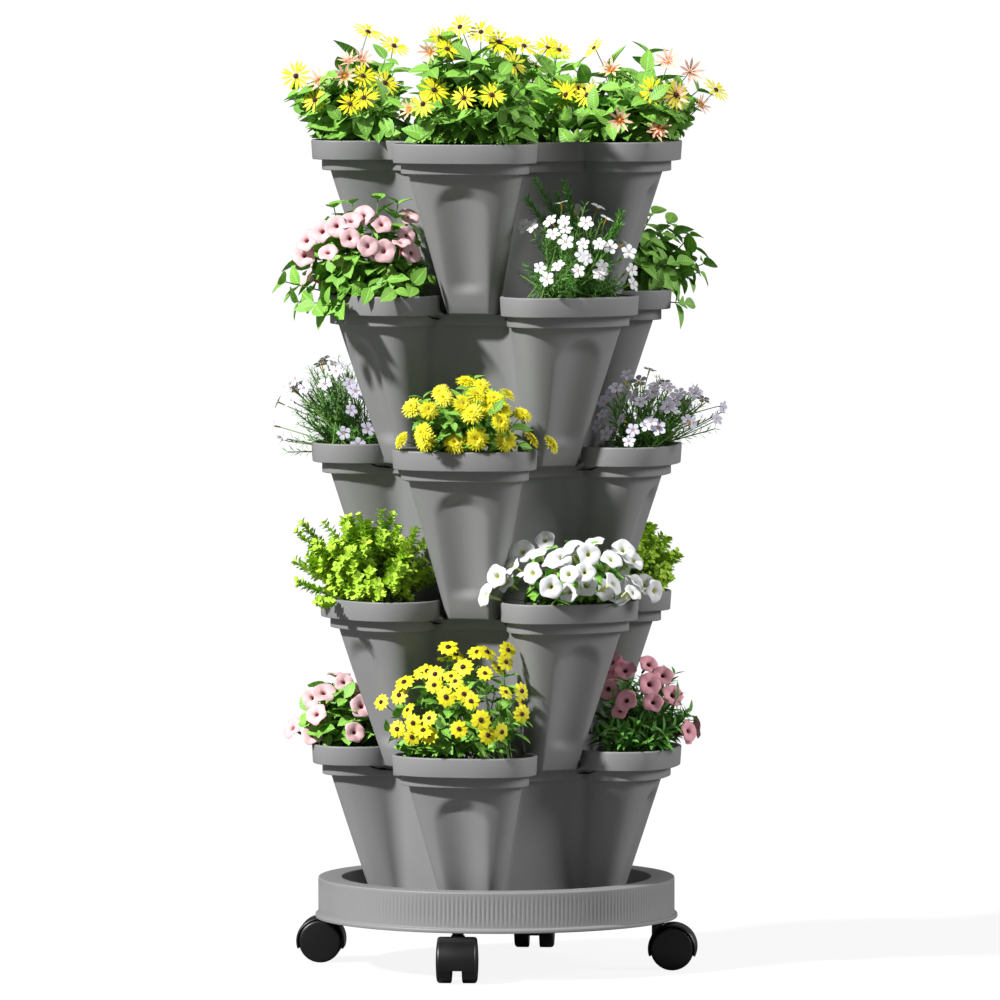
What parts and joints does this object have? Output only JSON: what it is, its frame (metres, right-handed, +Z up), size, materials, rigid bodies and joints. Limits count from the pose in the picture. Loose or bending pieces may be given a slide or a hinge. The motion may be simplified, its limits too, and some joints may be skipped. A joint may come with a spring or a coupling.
{
  "type": "vertical planter tower",
  "caption": "Stack of lobed planters, each turned by half a lobe on the one below, planted and standing in a round rolling tray on swivel casters.",
  "frame": {"origin": "on the floor under the tower's vertical axis, at the level where the casters' wheels stand", "axes": "+Z up the tower's axis, -Y towards the front, where a pocket of the bottom planter points, +X right"},
  "size_m": [0.4296, 0.4038, 0.8752],
  "materials": {
    "grey_plastic": "matte",
    "black_plastic": "satin",
    "steel": "satin",
    "black_steel": "satin",
    "soil": "matte",
    "plants": "matte"
  },
  "bodies": {
    "root": {"rolling_tray": "grey_plastic", "caster_front_stem": "black_steel", "caster_right_stem": "black_steel", "caster_back_stem": "black_steel", "caster_left_stem": "black_steel"},
    "tier_1": {"tier_1_planter": "grey_plastic", "tier_1_soil": "soil", "tier_1_front_plant": "plants", "tier_1_right_plant": "plants", "tier_1_back_plant": "plants", "tier_1_left_plant": "plants"},
    "tier_2": {"tier_2_planter": "grey_plastic", "tier_2_soil": "soil", "tier_2_front_right_plant": "plants", "tier_2_back_right_plant": "plants", "tier_2_back_left_plant": "plants", "tier_2_front_left_plant": "plants"},
    "tier_3": {"tier_3_planter": "grey_plastic", "tier_3_soil": "soil", "tier_3_front_plant": "plants", "tier_3_right_plant": "plants", "tier_3_back_plant": "plants", "tier_3_left_plant": "plants"},
    "tier_4": {"tier_4_planter": "grey_plastic", "tier_4_soil": "soil", "tier_4_front_right_plant": "plants", "tier_4_back_right_plant": "plants", "tier_4_back_left_plant": "plants", "tier_4_front_left_plant": "plants"},
    "tier_5": {"tier_5_planter": "grey_plastic", "tier_5_soil": "soil", "tier_5_front_plant": "plants", "tier_5_right_plant": "plants", "tier_5_back_plant": "plants", "tier_5_left_plant": "plants", "tier_5_middle_plant": "plants"},
    "caster_front": {"caster_front_hood": "black_plastic", "caster_front_axle": "steel"},
    "caster_front_left_wheel": {"caster_front_left_wheel": "black_plastic"},
    "caster_front_right_wheel": {"caster_front_right_wheel": "black_plastic"},
    "caster_right": {"caster_right_hood": "black_plastic", "caster_right_axle": "steel"},
    "caster_right_left_wheel": {"caster_right_left_wheel": "black_plastic"},
    "caster_right_right_wheel": {"caster_right_right_wheel": "black_plastic"},
    "caster_back": {"caster_back_hood": "black_plastic", "caster_back_axle": "steel"},
    "caster_back_left_wheel": {"caster_back_left_wheel": "black_plastic"},
    "caster_back_right_wheel": {"caster_back_right_wheel": "black_plastic"},
    "caster_left": {"caster_left_hood": "black_plastic", "caster_left_axle": "steel"},
    "caster_left_left_wheel": {"caster_left_left_wheel": "black_plastic"},
    "caster_left_right_wheel": {"caster_left_right_wheel": "black_plastic"}
  },
  "joints": [
    {"name": "tier_1_lift", "type": "slide", "parent": "root", "child": "tier_1", "axis": [0, 0, 1], "range_m": [0, 0.2]},
    {"name": "tier_2_lift", "type": "slide", "parent": "tier_1", "child": "tier_2", "axis": [0, 0, 1], "range_m": [0, 0.2]},
    {"name": "tier_3_lift", "type": "slide", "parent": "tier_2", "child": "tier_3", "axis": [0, 0, 1], "range_m": [0, 0.2]},
    {"name": "tier_4_lift", "type": "slide", "parent": "tier_3", "child": "tier_4", "axis": [0, 0, 1], "range_m": [0, 0.2]},
    {"name": "tier_5_lift", "type": "slide", "parent": "tier_4", "child": "tier_5", "axis": [0, 0, 1], "range_m": [0, 0.2]},
    {"name": "caster_front_swivel", "type": "hinge", "parent": "root", "child": "caster_front", "pos_m": [0, -0.15415, 0.0425], "axis": [0, 0, 1], "continuous": true},
    {"name": "caster_front_left_roll", "type": "hinge", "parent": "caster_front", "child": "caster_front_left_wheel", "pos_m": [0.00226, -0.16695, 0.02], "axis": [0.9848, 0.1736, 0], "continuous": true},
    {"name": "caster_front_right_roll", "type": "hinge", "parent": "caster_front", "child": "caster_front_right_wheel", "pos_m": [0.00226, -0.16695, 0.02], "axis": [0.9848, 0.1736, 0], "continuous": true},
    {"name": "caster_right_swivel", "type": "hinge", "parent": "root", "child": "caster_right", "pos_m": [0.15415, 0, 0.0425], "axis": [0, 0, 1], "continuous": true},
    {"name": "caster_right_left_roll", "type": "hinge", "parent": "caster_right", "child": "caster_right_left_wheel", "pos_m": [0.16695, 0.00226, 0.02], "axis": [-0.1736, 0.9848, 0], "continuous": true},
    {"name": "caster_right_right_roll", "type": "hinge", "parent": "caster_right", "child": "caster_right_right_wheel", "pos_m": [0.16695, 0.00226, 0.02], "axis": [-0.1736, 0.9848, 0], "continuous": true},
    {"name": "caster_back_swivel", "type": "hinge", "parent": "root", "child": "caster_back", "pos_m": [0, 0.15415, 0.0425], "axis": [0, 0, 1], "continuous": true},
    {"name": "caster_back_left_roll", "type": "hinge", "parent": "caster_back", "child": "caster_back_left_wheel", "pos_m": [-0.00226, 0.16695, 0.02], "axis": [0.9848, 0.1736, 0], "continuous": true},
    {"name": "caster_back_right_roll", "type": "hinge", "parent": "caster_back", "child": "caster_back_right_wheel", "pos_m": [-0.00226, 0.16695, 0.02], "axis": [0.9848, 0.1736, 0], "continuous": true},
    {"name": "caster_left_swivel", "type": "hinge", "parent": "root", "child": "caster_left", "pos_m": [-0.15415, 0, 0.0425], "axis": [0, 0, 1], "continuous": true},
    {"name": "caster_left_left_roll", "type": "hinge", "parent": "caster_left", "child": "caster_left_left_wheel", "pos_m": [-0.16695, -0.00226, 0.02], "axis": [-0.1736, 0.9848, 0], "continuous": true},
    {"name": "caster_left_right_roll", "type": "hinge", "parent": "caster_left", "child": "caster_left_right_wheel", "pos_m": [-0.16695, -0.00226, 0.02], "axis": [-0.1736, 0.9848, 0], "continuous": true}
  ]
}
